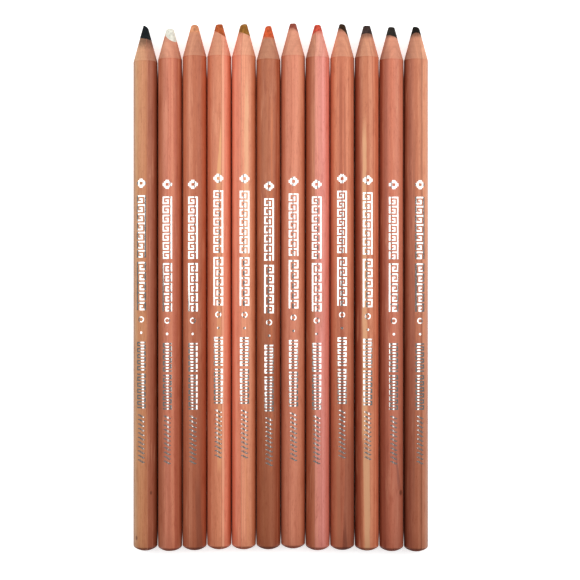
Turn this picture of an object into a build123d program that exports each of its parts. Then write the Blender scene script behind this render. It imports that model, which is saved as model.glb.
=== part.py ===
from build123d import *
import os
from math import cos, radians, sin, tan
from typing import NamedTuple

# A set of twelve round pastel pencils, loose, side by side on a table.
#
# X runs along the row, Y along the pencils with the sharpened tips towards +Y, and Z up.
# The origin is on the table, below the middle of the row. Sizes are in millimetres.
#
# Each pencil is made as the real one is: two grooved cedar slats are glued round an
# extruded core, the blank is turned round, and one end is sharpened to a cone.

BARREL_R = 4.0
PITCH = 8.2             # from one pencil's axis to the next, so the barrels are 0.2 apart
CORE_R = 1.95
GLUE = 0.1              # thickness of the glue between the two slats
POINT_HALF_ANGLE = 15   # of the sharpened cone, in degrees
BUTT_CROWN = 1.5        # how far the middle of the blunt end stands out from its rim
RIM_FILLET = 0.9        # where the blunt end meets the barrel
FAR = 200               # longer than any pencil reaches from the origin

TAPER = tan(radians(POINT_HALF_ANGLE))


class Pencil(NamedTuple):
    """What differs from one pencil to the next."""

    butt: float         # Y of the blunt end
    shoulder: float     # Y where the barrel ends and the cone starts
    tip: float          # Y of the worn tip
    seam: float         # degrees from the top of the barrel to the glue line, clockwise from behind
    core_right: float   # how far the core is off the barrel's axis, towards +X
    core_up: float      # the same, upwards
    worn_right: float   # how far the highest point of the worn tip is off the axis, towards +X
    flatness: float     # of the worn tip: 1 is a round dome, and more is flatter


PENCILS = [
    Pencil(-87.7, 75.0, 87.3, 16, 0.1, 0.0, -0.9, 1.0),
    Pencil(-87.9, 75.8, 86.3, 75, 0.35, 0.35, 0.1, 1.2),
    Pencil(-87.6, 76.7, 87.6, -72, 0.0, -0.2, 0.0, 1.1),
    Pencil(-87.3, 76.8, 87.7, 15, 0.3, 0.0, 0.35, 2.0),
    Pencil(-87.3, 76.8, 87.8, -10, 0.2, 0.0, 0.3, 1.1),
    Pencil(-87.3, 75.6, 87.2, 78, 0.05, 0.0, 0.15, 1.2),
    Pencil(-87.0, 76.8, 88.0, -76, 0.15, -0.5, 0.1, 2.2),
    Pencil(-87.6, 76.3, 87.6, -15, -0.2, -0.35, 0.0, 1.3),
    Pencil(-87.5, 76.3, 87.8, 72, 0.4, -0.45, -0.25, 1.1),
    Pencil(-87.7, 76.4, 87.2, 80, 0.0, -0.1, 0.0, 2.6),
    Pencil(-87.9, 75.6, 86.8, -74, 0.15, -0.1, -0.1, 1.8),
    Pencil(-88.0, 75.6, 86.9, 27, 0.0, -0.4, -0.3, 1.1),
]


def turned_blank(pencil):
    """The glued blank after turning and sharpening, as one solid about the Y axis, tip complete."""
    rim = pencil.butt + BUTT_CROWN
    apex = pencil.shoulder + BARREL_R / TAPER
    crown = TangentArc((0, pencil.butt), (BARREL_R, rim), tangent=(1, 0))
    sides = Polyline((BARREL_R, rim), (BARREL_R, pencil.shoulder), (0, apex), (0, pencil.butt))
    outline = make_face(Curve() + [crown, sides])
    corner = outline.vertices().sort_by_distance((BARREL_R, rim))[0]
    return revolve(fillet(corner, RIM_FILLET), Axis.Y)


def worn_blank(pencil):
    """The blank with its tip worn down to a round or flattened end."""
    apex = pencil.shoulder + BARREL_R / TAPER
    cone_r = (apex - pencil.tip) * TAPER
    wear_r = pencil.flatness * (cone_r + abs(pencil.worn_right)) / (1 - TAPER)
    centre_y = pencil.tip - wear_r
    ball = Pos(pencil.worn_right, centre_y, 0) * Sphere(wear_r)
    over = Pos(0, centre_y, 0) * Box(
        2 * BARREL_R, FAR, 2 * BARREL_R, align=(Align.CENTER, Align.MIN, Align.CENTER)
    )
    return turned_blank(pencil) - (over - ball)


def seam_plane(pencil):
    """The joint between the slats. It holds the core's axis and faces the right slat."""
    angle = radians(pencil.seam)
    run = BARREL_R * sin(angle) - pencil.core_right
    rise = BARREL_R * cos(angle) - pencil.core_up
    centre = (pencil.core_right, 0, pencil.core_up)
    return Plane(origin=centre, x_dir=(0, 1, 0), z_dir=(rise, 0, -run))


def block(plane, low, high):
    """A block between two heights above a plane, wide enough to hold the whole pencil."""
    return plane.offset(low) * Box(
        2 * FAR, FAR, high - low, align=(Align.CENTER, Align.CENTER, Align.MIN)
    )


def pencil_pieces(pencil):
    """The four pieces of one pencil about the Y axis, by the names of their nodes."""
    blank = worn_blank(pencil)
    groove = Pos(pencil.core_right, 0, pencil.core_up) * Rot(90, 0, 0) * Cylinder(CORE_R, 2 * FAR)
    wood = blank - groove
    plane = seam_plane(pencil)
    return {
        "left_slat": wood & block(plane, -FAR, -GLUE / 2),
        "right_slat": wood & block(plane, GLUE / 2, FAR),
        "glue_line": wood & block(plane, -GLUE / 2, GLUE / 2),
        "core": blank & groove,
    }


def write_row():
    """Lays the pencils on the table from left to right and writes each piece to its own file."""
    os.makedirs("parts", exist_ok=True)
    first_x = -PITCH * (len(PENCILS) - 1) / 2
    for index, pencil in enumerate(PENCILS):
        place = Pos(first_x + PITCH * index, 0, BARREL_R)
        for name, piece in pencil_pieces(pencil).items():
            export_step(place * piece, f"parts/{name}_{index + 1:02d}.step")


write_row()
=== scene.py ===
from math import asin, cos, pi, radians, sin, sqrt, tan

import bmesh
import bpy
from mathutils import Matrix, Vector, noise


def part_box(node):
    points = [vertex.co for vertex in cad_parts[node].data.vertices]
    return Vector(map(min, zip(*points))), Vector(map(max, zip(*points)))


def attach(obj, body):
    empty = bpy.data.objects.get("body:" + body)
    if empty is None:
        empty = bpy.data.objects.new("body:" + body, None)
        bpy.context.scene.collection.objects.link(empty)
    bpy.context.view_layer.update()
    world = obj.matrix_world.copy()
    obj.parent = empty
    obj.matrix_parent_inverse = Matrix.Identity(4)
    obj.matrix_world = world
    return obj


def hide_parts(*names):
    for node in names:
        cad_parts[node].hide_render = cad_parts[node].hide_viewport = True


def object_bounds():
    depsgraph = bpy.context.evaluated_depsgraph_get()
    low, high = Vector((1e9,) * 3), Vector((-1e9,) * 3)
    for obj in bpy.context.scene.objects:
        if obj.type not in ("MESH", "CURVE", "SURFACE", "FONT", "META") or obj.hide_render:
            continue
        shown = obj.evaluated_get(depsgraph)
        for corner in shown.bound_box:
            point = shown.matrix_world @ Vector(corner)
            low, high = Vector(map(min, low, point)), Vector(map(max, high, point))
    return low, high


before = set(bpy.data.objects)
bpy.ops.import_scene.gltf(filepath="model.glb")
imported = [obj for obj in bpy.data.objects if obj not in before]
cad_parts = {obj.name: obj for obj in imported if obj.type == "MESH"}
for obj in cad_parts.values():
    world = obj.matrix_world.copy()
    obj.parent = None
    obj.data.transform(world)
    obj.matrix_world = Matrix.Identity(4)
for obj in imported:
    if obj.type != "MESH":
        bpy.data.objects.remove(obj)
cad_low, cad_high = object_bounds()


# Slats. Each barrel is two half-round slats of cedar, grooved for the core, glued shut and turned
# round on a lathe. The barrel is clear-lacquered, then the point is cut through the lacquer, so the
# cone is bare wood. The two halves come from different boards and seldom match in colour.

MM = 0.001
BARREL_R = 4.0
CORE_R = 1.95
GLUE = 0.1      # between the two slats
TAPER = tan(radians(15))
CROWN = 1.5     # how far the middle of the blunt end stands out from its rim
CROWN_R = (BARREL_R**2 + CROWN**2) / (2 * CROWN)
RIM_FILLET = 0.9
LACQUER = 0.03
NUMBERS = [f"{count:02d}" for count in range(1, 13)]

# Degrees from the top of each barrel to the joint between its slats, clockwise from behind.
SEAMS = [16, 75, -72, 15, -10, 78, -76, -15, 72, 80, -74, 27]


class Blank:
    """One pencil's place and size in millimetres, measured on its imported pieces."""

    def __init__(self, number, seam):
        left, right, core = (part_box(f"{name}_{number}") for name in ("left_slat", "right_slat", "core"))
        low = [min(pair) / MM for pair in zip(left[0], right[0])]
        high = [max(pair) / MM for pair in zip(left[1], right[1])]
        middle = [(a + b) / 2 / MM for a, b in zip(*core)]
        self.x = round((low[0] + high[0]) / 2, 1)
        self.z = round((low[2] + high[2]) / 2, 1)
        self.core = Vector((round(middle[0] - self.x, 2), round(middle[2] - self.z, 2)))
        self.butt = round(core[0].y / MM, 1)
        self.tip = round(core[1].y / MM, 1)
        # The wood reaches farthest where the side of the groove is nearest to the axis.
        self.wood_end = high[1]
        apex = self.wood_end + (CORE_R - self.core.length) / TAPER
        self.shoulder = round(apex - BARREL_R / TAPER, 1)
        self.apex = self.shoulder + BARREL_R / TAPER
        rim = Vector((sin(radians(seam)), cos(radians(seam)))) * BARREL_R
        self.joint = (rim - self.core).normalized()
        self.facing = Vector((self.joint.y, -self.joint.x))

    def place(self, across, along, up):
        """A point given from the pencil's own axis, in the row's frame and in metres."""
        return Vector((self.x + across, along, self.z + up)) * MM


BLANKS = [Blank(number, seam) for number, seam in zip(NUMBERS, SEAMS)]


def circle_hit(start, direction, radius):
    """How far a ray runs from start, inside the circle about the axis, before it meets it."""
    along = start.dot(direction)
    return sqrt(radius**2 - start.length_squared + along**2) - along


def steps(first, last, count):
    """Evenly spaced values from first to last, with count gaps between them."""
    return [first + (last - first) * step / count for step in range(count + 1)]


def crown_height(blank, radius):
    """Where the bulging blunt end is along the pencil, at a radius from the axis."""
    return blank.butt + CROWN_R - sqrt(CROWN_R**2 - radius**2)


def slat_outline(blank, groove_r):
    """The turned profile as (radius, along), from the groove on the blunt end to the groove on the cone."""
    fillet_x = BARREL_R - RIM_FILLET
    fillet_y = blank.butt + CROWN_R - sqrt((CROWN_R - RIM_FILLET) ** 2 - fillet_x ** 2)
    touch = asin(fillet_x / (CROWN_R - RIM_FILLET))
    crown_edge = CROWN_R * sin(touch)
    crown = [(r, crown_height(blank, r)) for r in steps(groove_r, crown_edge, 6)]
    rim = [(fillet_x + RIM_FILLET * sin(turn), fillet_y - RIM_FILLET * cos(turn))
           for turn in steps(touch, pi / 2, 7)[1:]]
    barrel = [(BARREL_R, along) for along in steps(fillet_y, blank.shoulder, 28)[1:]]
    cut_edge = BARREL_R - LACQUER
    cone = [(r, blank.shoulder + (cut_edge - r) / TAPER) for r in steps(cut_edge, groove_r, 16)]
    return crown + rim + barrel + cone


def closed_piece(name, points, faces, smooth_under):
    """A mesh object, faces turned outwards, smooth where it bends by less than smooth_under degrees."""
    mesh = bpy.data.meshes.new(name)
    mesh.from_pydata(points, [], faces)
    shell = bmesh.new()
    shell.from_mesh(mesh)
    bmesh.ops.recalc_face_normals(shell, faces=shell.faces)
    shell.to_mesh(mesh)
    shell.free()
    mesh.shade_smooth()
    mesh.set_sharp_from_angle(angle=radians(smooth_under))
    piece = bpy.data.objects.new(name, mesh)
    bpy.context.scene.collection.objects.link(piece)
    return piece


def slat(name, blank, side):
    """Half of the barrel, on the side that the joint faces (1) or the other (-1)."""
    columns, groove_rows = 48, 28
    off_joint = blank.facing * side * GLUE / 2
    start = blank.core + off_joint
    points, faces = [], []
    for column in range(columns + 1):
        turn = pi * column / columns
        ray = blank.joint * cos(turn) + blank.facing * side * sin(turn)
        groove = start + ray * circle_hit(off_joint, ray, CORE_R)
        outline = slat_outline(blank, groove.length)
        skin = []
        for radius, along in outline:
            spot = start + ray * circle_hit(start, ray, radius)
            skin.append(blank.place(spot.x, along, spot.y))
        depths = steps(outline[-1][1], outline[0][1], groove_rows)[1:-1]
        points += skin + [blank.place(groove.x, along, groove.y) for along in depths]
    ring = len(points) // (columns + 1)
    for column in range(columns):
        for step in range(ring):
            a, b = column * ring + step, column * ring + (step + 1) % ring
            faces.append((a, b, b + ring, a + ring))
    faces.append(tuple(range(ring)))
    faces.append(tuple(columns * ring + step for step in range(ring)))
    return closed_piece(name, points, faces, 12)


class Wire:
    """One output socket of a material, with arithmetic that adds the Math nodes it needs."""

    def __init__(self, tree, socket=None):
        self.tree = tree
        self.socket = socket

    def fill(self, node, sockets):
        """Links each wire to the socket it is given for, and sets the others to their values."""
        for name, value in sockets.items():
            if isinstance(value, Wire):
                self.tree.links.new(value.socket, node.inputs[name])
            else:
                node.inputs[name].default_value = value

    def node(self, kind, settings=None, sockets=None, output=0):
        """Adds a node: its type, its settings, and the values or links of its sockets."""
        made = self.tree.nodes.new(kind)
        for name, value in (settings or {}).items():
            if name == "stops":
                ramp = made.color_ramp.elements
                ramp.remove(ramp[1])
                ramp[0].position, ramp[0].color = value[0]
                for position, tone in value[1:]:
                    ramp.new(position).color = tone
            else:
                setattr(made, name, value)
        self.fill(made, sockets or {})
        return Wire(self.tree, made.outputs[output])

    def part(self, name):
        return Wire(self.tree, self.socket.node.outputs[name])

    def math(self, operation, *others):
        return self.node("ShaderNodeMath", {"operation": operation}, dict(enumerate((self, *others))))

    def __add__(self, other):
        return self.math("ADD", other)

    __radd__ = __add__

    def __sub__(self, other):
        return self.math("SUBTRACT", other)

    def __rsub__(self, other):
        return self.node("ShaderNodeMath", {"operation": "SUBTRACT"}, {0: other, 1: self})

    def __mul__(self, other):
        return self.math("MULTIPLY", other)

    __rmul__ = __mul__

    def __abs__(self):
        return self.math("ABSOLUTE")

    def vector(self, operation, other):
        return self.node("ShaderNodeVectorMath", {"operation": operation}, {0: self, 1: other})

    def rise(self, low, high):
        """A smooth step from 0 below low to 1 above high. Where low is above high it falls instead."""
        if low > high:
            return 1 - self.rise(high, low)
        return self.node("ShaderNodeMapRange", {"interpolation_type": "SMOOTHSTEP"},
                         {"Value": self, "From Min": low, "From Max": high})

    def blend(self, colour, factor, kind="MIX"):
        """This colour with another laid over it as far as factor says."""
        return self.node("ShaderNodeMix", {"data_type": "RGBA", "blend_type": kind},
                         {0: factor, 6: self, 7: colour}, 2)

    def grain(self, across, along, detail=2.0, contrast=0.5):
        """Noise from 0 to 1 in marks about across mm wide and along mm long."""
        stretched = self.vector("MULTIPLY", (1 / across, 1 / along, 1 / across))
        return self.node("ShaderNodeTexNoise", {},
                         {"Vector": stretched, "Scale": 1.0, "Detail": detail, "Roughness": contrast})


def colour(red, green, blue):
    """A linear colour from the usual 0 to 255 values."""
    parts = [value / 255 for value in (red, green, blue)]
    return tuple(v / 12.92 if v <= 0.04045 else ((v + 0.055) / 1.055) ** 2.4 for v in parts) + (1.0,)


def new_material(name):
    """A material's Principled shader node, and a wire to start its nodes from."""
    material = bpy.data.materials.new(name)
    material.use_nodes = True
    shader = material.node_tree.nodes["Principled BSDF"]
    return material, shader, Wire(material.node_tree)


def own_millimetres(start, blank, seed):
    """The surface point from the pencil's own axis, in mm, and the same moved to its own patch of noise."""
    place = start.node("ShaderNodeTexCoord", output="Object")
    place = place.vector("SUBTRACT", tuple(blank.place(0, 0, 0))).vector("MULTIPLY", (1 / MM,) * 3)
    return place, place.vector("ADD", (seed * 41.0, seed * 317.0, seed * 23.0))


def cedar(name, blank, seed, tones_and_edge_shade, ring_angle, lean, pigment, smudge, painted_butt_shade, flames, knots):
    """Lacquered cedar with its bare cone and sawn end, and painted shade towards the blunt end and round
    its rim.

    ring_angle is the way the growth rings face, and lean is how far they drift sideways over the
    pencil's length. The tables below say what tones, flames and knots hold."""
    material, shader, start = new_material(name)
    place, wood = own_millimetres(start, blank, seed)
    axes = place.node("ShaderNodeSeparateXYZ", {}, {"Vector": place})
    x, y, z = axes.part("X"), axes.part("Y"), axes.part("Z")

    # The board's own colours run along the grain, which sways a little.
    sway = (wood.grain(5, 70, 1) - 0.5) * 1.6 + y * (lean / 170)
    across = x + sway * 0.3
    stops = [(min(1, max(0, (at + BARREL_R) / (2 * BARREL_R))), colour(*tone)) for at, tone in tones_and_edge_shade]
    # The colours across the slat hold painted shade at the barrel's edges as well as the board's own
    # colour.
    skin = across.node("ShaderNodeValToRGB", {"stops": stops},
                       {"Fac": (across + BARREL_R) * (1 / (2 * BARREL_R))})

    # Growth rings: soft bands, and a darker line where each year's growth ended.
    rings = x * cos(radians(ring_angle)) + z * sin(radians(ring_angle)) + sway
    bands = rings.node("ShaderNodeTexNoise", {"noise_dimensions": "1D"},
                       {"W": rings + seed * 9.0, "Scale": 0.9, "Detail": 3.0, "Roughness": 0.62})
    year = (rings * 0.62 + wood.grain(2.5, 50, 1) * 0.8).math("FRACT")
    late_wood = year.rise(0.70, 0.95) * year.rise(1.0, 0.95)
    skin = skin.blend((0.70, 0.50, 0.42, 1), bands.rise(0.60, 0.36) * 0.36, "MULTIPLY")
    skin = skin.blend((0.74, 0.56, 0.48, 1), late_wood * 0.25, "MULTIPLY")
    skin = skin.blend(colour(240, 170, 130), bands.rise(0.56, 0.74) * 0.16)

    # Darker and lighter patches, fibres and pores.
    mottle = wood.grain(1.3, 6, 3, 0.65)
    skin = skin.blend((0.74, 0.56, 0.50, 1), mottle.rise(0.50, 0.74) * 0.5, "MULTIPLY")
    glow = wood.grain(1.2, 15, 3, 0.6)
    skin = skin.blend(colour(246, 176, 138), glow.rise(0.54, 0.76) * 0.25)
    fibres = wood.grain(0.16, 7, 3, 0.65)
    skin = skin.blend((0.76, 0.62, 0.54, 1), fibres.rise(0.50, 0.30) * 0.42, "MULTIPLY")
    pores = wood.grain(0.11, 1.3, 1, 0.5).rise(0.63, 0.74)
    skin = skin.blend((0.55, 0.38, 0.30, 1), pores * 0.5, "MULTIPLY")

    # Streaks and knots.
    edge = wood.grain(0.5, 12, 2) - 0.5
    for top_x, top_y, end_x, end_y, top_wide, end_wide, tone, strength in flames:
        down = (y - top_y) * (1 / (end_y - top_y))
        middle = down * (end_x - top_x) + top_x
        half = down * ((end_wide - top_wide) / 2) + top_wide / 2
        inside = (half + 0.15 - abs(x + sway * 0.15 + edge * 0.8 - middle)).rise(-0.15, 0.3)
        inside = inside * y.rise(end_y - 3, end_y + 3) * y.rise(top_y + 7, top_y - 5)
        skin = skin.blend(colour(*tone), inside * strength)
    for knot_x, knot_y, knot_r in knots:
        away = place.vector("SUBTRACT", (knot_x, knot_y, 0.0)).vector("MULTIPLY", (1.0, 0.55, 0.0))
        away = away.node("ShaderNodeVectorMath", {"operation": "LENGTH"}, {0: away}, "Value")
        skin = skin.blend(colour(112, 58, 38), (away + edge * 0.3).rise(knot_r, knot_r * 0.4) * 0.75)

    # The cone is bare and paler, with faint marks of the cutter, and stained by the core.
    bare = y.rise(blank.shoulder - 0.02, blank.shoulder + 0.04)
    shoulder_line = abs(y - blank.shoulder + 0.15).rise(0.35, 0.05)
    skin = skin.blend((0.70, 0.55, 0.45, 1), shoulder_line * 0.18, "MULTIPLY")
    pale = skin.blend(colour(225, 195, 170), 0.22)
    skin = skin.blend(pale, bare)
    cut_marks = (y * 3.4 + wood.grain(0.9, 30, 1) * 1.1).math("SINE")
    skin = skin.blend((0.86, 0.78, 0.72, 1), cut_marks.rise(0.2, 1.0) * bare * 0.18, "MULTIPLY")

    stain_reach = smudge * (0.5 + mottle)
    ragged = y + wood.grain(0.35, 1.6, 3, 0.6) * stain_reach
    stain = ragged.rise(blank.wood_end - smudge, blank.wood_end + 0.4)
    skin = skin.blend(colour(*pigment), stain * bare * 0.62)

    # The blunt end: painted shade that darkens the wood towards it, a sawn face, painted shade round its
    # rim, and dirt from hands.
    # Painted shade: the wood darkens towards the blunt end, where the lights fall off.
    skin = skin.blend((0.55, 0.48, 0.48, 1), y.rise(50, -75) * painted_butt_shade, "MULTIPLY")
    rim = blank.butt + CROWN
    sawn = y.rise(rim - 0.02, rim - 0.16)
    skin = skin.blend((0.86, 0.76, 0.68, 1), sawn, "MULTIPLY")
    # Painted shade round the blunt end's rim, where the rounded edge turns away from the light.
    painted_rim_shade = (y - rim).rise(0.35, -0.25)
    skin = skin.blend((0.50, 0.34, 0.27, 1), painted_rim_shade * 0.8, "MULTIPLY")
    grubby = (y + mottle * 5.0).rise(blank.butt + 12.0, blank.butt + 1.0)
    skin = skin.blend((0.62, 0.52, 0.46, 1), grubby * 0.35, "MULTIPLY")
    handled = wood.grain(3.2, 22, 3, 0.55).rise(0.55, 0.75) * (1 - bare)
    skin = skin.blend((0.72, 0.60, 0.50, 1), handled * 0.3, "MULTIPLY")

    # Lacquer covers all but the cut wood, and fills most of the relief below it.
    rough_cut = bare.math("MAXIMUM", sawn)
    relief = fibres * 0.6 + pores * -0.5 + cut_marks * bare * 0.25
    relief = relief * (0.25 + rough_cut * 0.75)
    bump = relief.node("ShaderNodeBump", {}, {"Strength": 0.5, "Distance": 0.00004, "Height": relief})
    start.fill(shader, {
        "Base Color": skin, "Normal": bump, "Specular IOR Level": 0.15,
        "Roughness": 0.42 + fibres * 0.12 + rough_cut * 0.28,
        "Coat Weight": (1 - rough_cut) * 0.25, "Coat Roughness": 0.3, "Coat IOR": 1.5})
    return material


# Each slat's colours from left to right: how far from the axis in millimetres, and the colour there. The
# darkest stops at the edges, near 4 mm out, are partly painted shade where the barrel turns away from the
# light and into the clefts, most of all on the outer sides of the first and last pencils.
TONES_AND_EDGE_SHADE = {
    "left_01": [(-4, (140, 96, 62)), (-2.9, (200, 152, 112)), (-1.5, (210, 148, 105)),
                (0.9, (200, 130, 92))],
    "right_01": [(1, (182, 108, 76)), (2.8, (170, 96, 70)), (4, (120, 56, 30))],
    "left_02": [(-4, (195, 112, 82)), (-2.5, (200, 126, 96)), (-1, (220, 140, 112)), (1.5, (216, 126, 96)),
                (4, (170, 82, 52))],
    "right_02": [(-4, (205, 120, 90)), (4, (180, 95, 65))],
    "left_03": [(-4, (200, 118, 85)), (4, (190, 105, 75))],
    "right_03": [(-4, (190, 108, 76)), (-1.5, (211, 132, 99)), (0, (201, 120, 86)), (2, (192, 110, 78)),
                 (4, (203, 102, 66))],
    "left_04": [(-4, (205, 117, 86)), (-1, (215, 134, 100)), (1, (228, 148, 112))],
    "right_04": [(1, (245, 156, 124)), (2.5, (244, 144, 115)), (4, (196, 94, 60))],
    "left_05": [(-4, (228, 128, 98)), (-0.8, (230, 140, 110))],
    "right_05": [(-0.5, (242, 162, 128)), (2.3, (238, 158, 122)), (2.9, (220, 136, 100)),
                 (4, (205, 115, 75))],
    "left_06": [(-4, (176, 100, 70)), (-1.5, (180, 106, 71)), (1.5, (190, 113, 80)), (4, (175, 84, 52))],
    "right_06": [(-4, (182, 104, 72)), (4, (168, 92, 62))],
    "left_07": [(-4, (212, 128, 98)), (4, (205, 118, 88))],
    "right_07": [(-4, (180, 100, 72)), (-2, (213, 131, 101)), (1, (230, 146, 116)), (2.5, (228, 144, 110)),
                 (4, (190, 100, 68))],
    "left_08": [(-4, (152, 74, 46)), (-2, (183, 104, 73)), (-1, (196, 118, 86))],
    "right_08": [(-0.8, (224, 142, 122)), (1.5, (248, 162, 150)), (4, (240, 136, 114))],
    "left_09": [(-4, (186, 100, 70)), (-2.2, (224, 140, 104)), (-0.5, (206, 120, 88)),
                (1.5, (228, 144, 108)), (4, (205, 115, 84))],
    "right_09": [(-4, (198, 116, 84)), (4, (185, 102, 72))],
    "left_10": [(-4, (115, 44, 28)), (-2.3, (168, 88, 60)), (-1.2, (205, 128, 92)), (1, (216, 138, 104)),
                (4, (225, 124, 90))],
    "right_10": [(-4, (188, 106, 76)), (4, (176, 94, 66))],
    "left_11": [(-4, (196, 114, 84)), (4, (182, 98, 70))],
    "right_11": [(-4, (132, 60, 40)), (-2, (182, 100, 74)), (-0.3, (222, 134, 104)), (2, (224, 142, 114)),
                 (4, (215, 124, 94))],
    "left_12": [(-4, (105, 42, 24)), (-2, (178, 102, 74)), (0, (206, 128, 94)), (1.7, (216, 142, 106))],
    "right_12": [(1.8, (236, 164, 128)), (3, (236, 166, 130)), (4, (200, 136, 98))],
}

# How much painted shade darkens each pencil towards its blunt end, where the lights fall off.
PAINTED_BUTT_SHADES = [0.1, 0.25, 0.5, 0.0, 0.05, 0.5, 0.3, 0.25, 0.7, 0.0, 0.6, 0.65]

# The kind of cedar of each left and right slat.
LEFT_SLOTS = ["cedar_tan", "cedar_pink", "cedar_pink", "cedar_red", "cedar_red", "cedar_brown",
              "cedar_red", "cedar_brown", "cedar_red", "cedar_red", "cedar_brown", "cedar_red"]
RIGHT_SLOTS = ["cedar_brown", "cedar_pink", "cedar_red", "cedar_pink", "cedar_pink", "cedar_brown",
               "cedar_pink", "cedar_pink", "cedar_red", "cedar_brown", "cedar_red", "cedar_tan"]

# The way the growth rings face, in degrees, and the colour of each core.
RING_ANGLES = [20, 65, 50, 15, 35, 80, 55, 25, 70, 40, 75, 30]
PIGMENTS = [(20, 26, 30), (228, 226, 212), (215, 145, 105), (180, 88, 45), (150, 100, 40), (210, 90, 50),
            (150, 75, 60), (200, 75, 55), (50, 30, 15), (60, 45, 42), (45, 40, 36), (25, 20, 15)]

# How far down each cone the core has stained the wood.
SMUDGES = [3.2, 1.0, 0.8, 0.9, 1.0, 0.9, 1.0, 1.2, 1.2, 1.6, 1.0, 1.6]

# Streaks: across and along where one starts and where it ends, both widths, colour and strength.
FLAMES = {
    "right_03": [(1.3, -66, 1.9, -88, 1.6, 1.8, (150, 82, 58), 0.6)],
    "left_04": [(0.9, 54, 0.0, 34, 0.3, 1.2, (242, 186, 130), 0.6),
                (0.0, 34, 0.3, -60, 1.0, 1.2, (240, 178, 126), 0.35)],
    "left_05": [(-2.8, 74, -2.4, -80, 0.8, 0.6, (246, 160, 134), 0.4)],
    "right_05": [(1.1, 66, 0.9, 10, 0.9, 1.6, (248, 196, 152), 0.5),
                 (0.6, -50, 1.6, -84, 0.5, 0.9, (226, 146, 104), 0.5)],
    "right_04": [(1.5, 80, 1.5, -90, 0.3, 0.3, (250, 186, 150), 0.7)],
    "left_06": [(1.2, 60, 1.0, -60, 0.5, 0.5, (214, 118, 70), 0.5)],
    "left_09": [(-0.7, 70, -0.4, -50, 0.9, 0.7, (165, 84, 56), 0.55),
                (0.6, 64, 0.8, 20, 0.4, 0.5, (165, 84, 56), 0.5),
                (-1.4, -56, -1.2, -84, 0.9, 0.9, (206, 132, 96), 0.6),
                (2.2, -50, 2.0, -88, 2.6, 3.2, (140, 76, 60), 0.35),
                (0.7, -79, 0.8, -90, 0.9, 1.9, (110, 52, 38), 0.45)],
    "left_10": [(-1.0, 52, -0.9, -50, 1.0, 1.6, (236, 184, 138), 0.6),
                (-0.3, -54, -0.1, -90, 2.0, 1.5, (222, 176, 134), 0.6)],
    "left_12": [(1.55, 82, 1.55, -92, 0.25, 0.25, (120, 66, 44), 0.45),
                (-0.9, 50, -1.1, -70, 0.5, 0.7, (150, 84, 60), 0.3)],
    "left_08": [(-1.6, 60, -1.5, -20, 0.4, 0.6, (210, 136, 100), 0.4)],
    "left_02": [(-0.4, -50, 0.4, -86, 0.7, 1.2, (184, 106, 80), 0.4)],
    "right_11": [(0.8, -52, 2.4, -66, 0.4, 0.9, (150, 92, 82), 0.5)],
}

# Knots: across, along and radius.
KNOTS = {"right_11": [(2.9, -68.0, 0.7)], "left_01": [(-2.6, -83.0, 0.5)], "right_01": [(2.2, -68.0, 0.5)]}

for index, (number, blank) in enumerate(zip(NUMBERS, BLANKS)):
    for side, word, slots in ((-1, "left", LEFT_SLOTS), (1, "right", RIGHT_SLOTS)):
        board = f"{word}_{number}"
        half = slat(f"cedar_{board}", blank, side)
        half.data.materials.append(cedar(
            half.name, blank, seed=index * 2 + (side + 1) // 2, tones_and_edge_shade=TONES_AND_EDGE_SHADE[board],
            ring_angle=side * RING_ANGLES[index], lean=(index % 5 - 2) * 0.3,
            pigment=PIGMENTS[index], smudge=SMUDGES[index], painted_butt_shade=PAINTED_BUTT_SHADES[index],
            flames=FLAMES.get(board, ()), knots=KNOTS.get(board, ())))
        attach(half, f"pencil_{number}")
        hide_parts(f"{word}_slat_{number}")


# Cores. Each is an extruded stick of pastel, pigment and chalk in a clay binder, glued into the
# grooves. It shows as a ring at the blunt end and as the point, which use has worn to a dull dome.

# How far the highest point of each worn tip is off the axis.
WORN_RIGHT = [-0.9, 0.1, 0.0, 0.35, 0.3, 0.15, 0.1, 0.0, -0.25, 0.0, -0.1, -0.3]

# The shape of each worn tip: 1 is a round dome, and more is flatter.
FLATNESS = [1.0, 1.2, 1.1, 2.0, 1.1, 1.2, 2.2, 1.3, 1.1, 2.6, 1.8, 1.1]


def softer_min(a, b, blend):
    """The lesser of two heights, rounded over where they meet."""
    share = max(blend - abs(a - b), 0) / blend
    return min(a, b) - share * share * blend / 4


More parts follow.
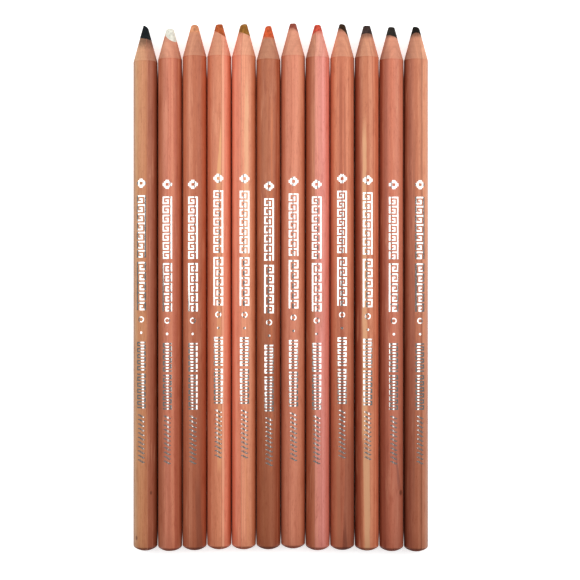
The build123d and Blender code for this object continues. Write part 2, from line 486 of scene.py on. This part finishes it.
def core(name, blank, worn_right, flatness, roughness):
    """The stick of pastel with its cone and worn tip."""
    columns, rings, butt_rings = 96, 34, 8
    cone_r = (blank.apex - blank.tip) * TAPER
    wear_r = flatness * (cone_r + abs(worn_right)) / (1 - TAPER)
    wear_y = blank.tip - wear_r
    summit = Vector((worn_right, 0))

    def height(spot):
        """Where the cone or the worn dome is along the pencil, at a spot across it."""
        cone = blank.apex - spot.length / TAPER
        if cone < wear_y:
            return cone
        dome = wear_y + sqrt(max(wear_r**2 - (spot - summit).length_squared, 0))
        grit = Vector((spot.x, spot.y, blank.x))
        crumb = noise.noise(grit * 3.1) + noise.noise(grit * 7.7) / 2
        worn = min(1, max(0, (cone - dome) / 0.6 + 0.4))
        return softer_min(cone, dome, 0.25) + crumb * roughness * worn

    points, faces = [blank.place(summit.x, height(summit), summit.y)], []
    for ring in range(1, rings + 1):
        share = ring / rings
        middle = summit.lerp(blank.core, share)
        for column in range(columns):
            turn = 2 * pi * column / columns
            spot = middle + Vector((sin(turn), cos(turn))) * CORE_R * share
            points.append(blank.place(spot.x, height(spot), spot.y))
    for ring in range(butt_rings, 0, -1):
        for column in range(columns):
            turn = 2 * pi * column / columns
            spot = blank.core + Vector((sin(turn), cos(turn))) * CORE_R * ring / butt_rings
            points.append(blank.place(spot.x, crown_height(blank, spot.length), spot.y))
    points.append(blank.place(blank.core.x, crown_height(blank, blank.core.length), blank.core.y))
    last = len(points) - 1
    for column in range(columns):
        after = (column + 1) % columns
        faces.append((0, 1 + column, 1 + after))
        for ring in range(rings + butt_rings - 1):
            low = 1 + ring * columns
            faces.append((low + column, low + columns + column, low + columns + after, low + after))
        faces.append((last, last - columns + after, last - columns + column))
    return closed_piece(name, points, faces, 35)


def pastel(name, blank, seed, tone):
    """Dry pastel: matt, chalky and a little uneven, with crumbs and cutting marks."""
    material, shader, start = new_material(name)
    place, stick = own_millimetres(start, blank, seed)
    dark = tuple(int(value * (0.72 + 0.2 * min(tone) / 255)) for value in tone)
    light = tuple(min(255, int(value * 1.08 + 14)) for value in tone)
    clouds = stick.grain(0.9, 1.4, 3, 0.6)
    crumbs = stick.grain(0.12, 0.16, 2, 0.6)
    skin = clouds.node("ShaderNodeValToRGB", {"stops": [(0.3, colour(*dark)), (0.52, colour(*tone)),
                                                        (0.75, colour(*light))]}, {"Fac": clouds})
    skin = skin.blend(colour(*light), crumbs.rise(0.58, 0.72) * 0.35)
    skin = skin.blend(colour(*dark), crumbs.rise(0.42, 0.28) * 0.35)
    y = place.node("ShaderNodeSeparateXYZ", {}, {"Vector": place}, "Y")
    cuts = (y * 4.2 + clouds * 2.0).math("SINE")
    relief = crumbs + clouds * 0.6 + cuts * 0.12
    bump = relief.node("ShaderNodeBump", {}, {"Strength": 0.6, "Distance": 0.00006, "Height": relief})
    start.fill(shader, {"Base Color": skin, "Roughness": 0.86 + crumbs * 0.14, "Normal": bump,
                        "Specular IOR Level": 0.2})
    return material


# How rough each worn tip is.
CRUMBLE = [0.03, 0.05, 0.03, 0.05, 0.05, 0.04, 0.04, 0.05, 0.04, 0.07, 0.05, 0.04]

for index, (number, blank) in enumerate(zip(NUMBERS, BLANKS)):
    stick = core(f"pastel_core_{number}", blank, WORN_RIGHT[index], FLATNESS[index], CRUMBLE[index])
    stick.data.materials.append(pastel(stick.name, blank, index + 40, PIGMENTS[index]))
    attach(stick, f"pencil_{number}")
    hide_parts(f"core_{number}")


# Glue lines. A film of wood glue holds the slats together on both sides of the core. It dried to a
# brown line a tenth of a millimetre wide, and turning and sharpening cut it flush with the wood.


def dried_glue(name, blank, seed):
    """Dried wood glue: brown, patchy and a little glossy, with dark specks."""
    material, shader, start = new_material(name)
    _, film = own_millimetres(start, blank, seed)
    patches = film.grain(0.5, 6, 3, 0.6)
    specks = film.grain(0.08, 0.5, 1)
    skin = patches.node("ShaderNodeValToRGB", {"stops": [(0.35, colour(168, 102, 74)),
                                                         (0.65, colour(204, 134, 102))]}, {"Fac": patches})
    skin = skin.blend(colour(110, 60, 42), specks.rise(0.6, 0.75) * 0.5)
    bump = specks.node("ShaderNodeBump", {}, {"Strength": 0.4, "Distance": 0.00003, "Height": specks})
    start.fill(shader, {"Base Color": skin, "Roughness": 0.38 + specks * 0.25, "Normal": bump})
    return material


for index, (number, blank) in enumerate(zip(NUMBERS, BLANKS)):
    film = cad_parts[f"glue_line_{number}"]
    film.data.materials.clear()
    film.data.materials.append(dried_glue(film.name, blank, index + 70))


# Foil stamps. A hot die presses silver foil into the lacquer in one line along the barrel. The
# stamp here is plain ornament: a lozenge, two runs of key pattern, a ring, a dot, two runs of
# battlement and fine slanted hatching.

FOIL = 0.014    # how far the foil stands out of the lacquer, and how far it is pressed in
KEY = ["#####.", "#...#.", "#.#.#.", "#.###.", "#.....", "######"]
BATTLEMENT = ["###.", "#.#.", "#.#.", "#.#.", "#.#.", "#.##"]
HATCHING = ["#...", "#...", "##..", ".#..", ".##.", "..#.", "..#."]
BADGE = ["...##....", "..####...", ".##..##..", ".##..##..", "..####...", "...##...."]

# The runs along the line: pattern, repeats, first and last millimetre, and width.
RUNS = [
    (BADGE, 1, 0.0, 4.0, 3.3),
    (KEY, 7, 6.0, 26.6, 3.3),
    (KEY[::-1], 5, 28.0, 44.0, 3.3),
    (BATTLEMENT, 5, 54.4, 63.9, 3.1),
    (BATTLEMENT[::-1], 6, 64.9, 76.4, 3.1),
    (HATCHING, 11, 78.4, 94.4, 2.4),
]

# The ring and the dot: where each is along the line, and its inner and outer radius.
ROUND_MARKS = [(47.0, 0.62, 1.0), (51.4, 0.04, 0.42)]

# Where each pencil's line starts along the barrel, and how far it is off the barrel's top.
STAMP_STARTS = [36.4, 36.0, 36.0, 38.0, 37.9, 35.4, 37.0, 36.0, 37.9, 37.4, 35.9, 35.9]
STAMP_OFFSETS = [-1.0, -0.6, -0.3, -0.1, 0.4, 0.3, 0.2, -0.4, -0.2, 0.1, 0.5, 1.0]


def run_of(pattern, repeats, first, last, width):
    """The filled cells of a repeated pattern, where it starts along and across, and its cells' sizes."""
    rows = [(row * repeats)[:-1] for row in pattern]
    cell_y = (last - first) / len(rows[0])
    cell_x = width / len(rows)
    cells = [(column, row) for row, line in enumerate(rows)
             for column, mark in enumerate(line) if mark == "#"]
    return cells, first, cell_y, -width / 2, cell_x


def foil_stamp(name, blank, start, offset):
    """Thin foil bent round the barrel, a closed sheet made of the pattern's cells."""
    groups = [run_of(*run) for run in RUNS]
    roll = asin(offset / BARREL_R)
    points, faces, known = [], [], {}

    def corner(group, along, across, lift):
        """The index of a corner, in half cells, on the foil's upper (1) or lower (0) face."""
        key = (group, along, across, lift)
        if key not in known:
            cells, first, cell_y, side, cell_x = groups[group]
            ragged = noise.noise_vector(Vector((along * 1.7, across * 1.3, blank.x + group))) * 0.035
            turn = roll + (side + across * cell_x / 2 + ragged.x) / BARREL_R
            radius = BARREL_R + (FOIL if lift else -FOIL)
            known[key] = len(points)
            points.append(blank.place(radius * sin(turn), start - first - along * cell_y / 2 + ragged.y,
                                      radius * cos(turn)))
        return known[key]

    # Each cell is split in four, so that a bent edge stays smooth, and closed at its open sides.
    for group, (cells, *_) in enumerate(groups):
        filled = {(2 * a + i, 2 * b + j) for a, b in cells for i in (0, 1) for j in (0, 1)}
        for a, b in sorted(filled):
            ring = [(a, b), (a + 1, b), (a + 1, b + 1), (a, b + 1)]
            faces.append(tuple(corner(group, p, q, 1) for p, q in ring))
            faces.append(tuple(corner(group, p, q, 0) for p, q in reversed(ring)))
            beside = [(a, b - 1), (a + 1, b), (a, b + 1), (a - 1, b)]
            for near, (p, q), (r, s) in zip(beside, ring, ring[1:] + ring[:1]):
                if near not in filled:
                    faces.append((corner(group, p, q, 0), corner(group, r, s, 0),
                                  corner(group, r, s, 1), corner(group, p, q, 1)))

    def disc(along, inner, outer):
        """A ring of foil, or a dot where the hole in it is next to nothing."""
        spokes = 32
        base = len(points)
        for radius in (inner, (inner + outer) / 2, outer):
            for lift in (-FOIL, FOIL):
                for spoke in range(spokes):
                    turn = 2 * pi * spoke / spokes
                    bend = roll + radius * sin(turn) / BARREL_R
                    far = BARREL_R + lift
                    spot_y = start - along + radius * cos(turn)
                    points.append(blank.place(far * sin(bend), spot_y, far * cos(bend)))
        low_in, top_in, low_mid, top_mid, low_out, top_out = (base + spokes * n for n in range(6))
        sides = [(top_in, top_mid), (top_mid, top_out), (top_out, low_out), (low_out, low_mid),
                 (low_mid, low_in), (low_in, top_in)]
        for spoke in range(spokes):
            after = (spoke + 1) % spokes
            faces.extend((a + spoke, a + after, b + after, b + spoke) for a, b in sides)

    for mark in ROUND_MARKS:
        disc(*mark)
    return closed_piece(name, points, faces, 30)


def silver_foil(name, blank, seed):
    """Bright foil, slightly wrinkled by the grain below, with specks where it didn't take."""
    material, shader, start = new_material(name)
    _, film = own_millimetres(start, blank, seed)
    wrinkle = film.grain(0.25, 2.2, 3, 0.6)
    specks = film.grain(0.12, 0.3, 2, 0.6)
    missed = specks.rise(0.66, 0.74)
    skin = wrinkle.node("ShaderNodeValToRGB", {"stops": [(0.3, colour(196, 192, 190)),
                                                         (0.7, colour(232, 228, 224))]}, {"Fac": wrinkle})
    skin = skin.blend(colour(170, 130, 108), missed * 0.8)
    bump = wrinkle.node("ShaderNodeBump", {}, {"Strength": 0.35, "Distance": 0.00003, "Height": wrinkle})
    start.fill(shader, {"Base Color": skin, "Metallic": 1 - missed * 0.8, "Normal": bump,
                        "Roughness": 0.06 + wrinkle * 0.1 + missed * 0.3})
    return material


# The stamps' ragged edges are random, and the same in each run.
RAGGED_SEED = 12
noise.seed_set(RAGGED_SEED)

for index, (number, blank) in enumerate(zip(NUMBERS, BLANKS)):
    stamp = foil_stamp(f"foil_stamp_{number}", blank, STAMP_STARTS[index], STAMP_OFFSETS[index])
    stamp.data.materials.append(silver_foil(stamp.name, blank, index + 100))
    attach(stamp, f"pencil_{number}")


# Table, lights and camera. The set lies on a plain white board under a copy stand: two wide soft
# lights at the sides, a dim room overhead, and the camera straight above the row. The board glows
# a little with painted light all round the row, and not under it, which leaves painted shade beneath
# the row and in the gaps between the barrels.

BOARD_SIDE = 4.0
GLOW_BESIDE = (42.5, 49.5)      # from the row's middle, in millimetres: where the glow starts and is full
GLOW_BEYOND = (76.0, 81.5)      # the same along the pencils, from GLOW_Y
GLOW_Y = -6.0

middle = (cad_low + cad_high) / 2
board_mesh = bpy.data.meshes.new("white_board")
board_mesh.from_pydata([(x * BOARD_SIDE / 2, y * BOARD_SIDE / 2, cad_low.z) for x, y in
                        ((-1, -1), (1, -1), (1, 1), (-1, 1))], [], [(0, 1, 2, 3)])
board = bpy.data.objects.new("white_board", board_mesh)
bpy.context.scene.collection.objects.link(board)
board_material, board_shader, board_start = new_material("white_board")
ground = board_start.node("ShaderNodeTexCoord", output="Object").vector("MULTIPLY", (1 / MM,) * 3)
ground = ground.node("ShaderNodeSeparateXYZ", {}, {"Vector": ground})
# Painted light: the board glows all round the row. Painted shade: the glow fades out beneath the row.
beside = abs(ground.part("X") - middle.x / MM).rise(*GLOW_BESIDE)
beyond = abs(ground.part("Y") - GLOW_Y).rise(*GLOW_BEYOND)
glow = beside.math("MAXIMUM", beyond)
glow = glow.node("ShaderNodeCombineColor", {}, {"Red": glow, "Green": glow, "Blue": glow})
board_start.fill(board_shader, {"Base Color": (0.9, 0.9, 0.9, 1), "Roughness": 0.8,
                                "Emission Color": glow, "Emission Strength": 0.6})
board_mesh.materials.append(board_material)


LIGHT_SIZE = (0.30, 0.42)
LIGHT_WATTS = 0.84


def soft_light(name, place):
    """A wide rectangular light at a place from the row's middle, aimed at it."""
    light = bpy.data.lights.new(name, "AREA")
    light.shape = "RECTANGLE"
    light.size, light.size_y = LIGHT_SIZE
    light.energy = LIGHT_WATTS
    lamp = bpy.data.objects.new(name, light)
    lamp.location = middle + Vector(place)
    lamp.rotation_mode = "QUATERNION"
    lamp.rotation_quaternion = (middle - lamp.location).to_track_quat("-Z", "Y")
    lamp.visible_camera = False
    bpy.context.scene.collection.objects.link(lamp)


soft_light("left_light", (-0.20, 0.10, 0.27))
soft_light("right_light", (0.20, 0.10, 0.27))

world = bpy.data.worlds.new("studio")
bpy.context.scene.world = world
world.use_nodes = True
room = world.node_tree.nodes["Background"]
room.inputs["Color"].default_value = (0.22, 0.22, 0.22, 1)
room.inputs["Strength"].default_value = 1.0
bpy.context.scene.view_settings.view_transform = "Standard"

CAMERA_HEIGHT = 0.400
FRAME_WIDTH = 0.1935
CAMERA_ASIDE = (0.0031, -0.0009)
camera_data = bpy.data.cameras.new("camera")
camera_data.sensor_width = 36
camera_data.lens = camera_data.sensor_width * CAMERA_HEIGHT / FRAME_WIDTH
camera = bpy.data.objects.new("camera", camera_data)
camera.location = middle + Vector((*CAMERA_ASIDE, CAMERA_HEIGHT))
bpy.context.scene.collection.objects.link(camera)
bpy.context.scene.camera = camera
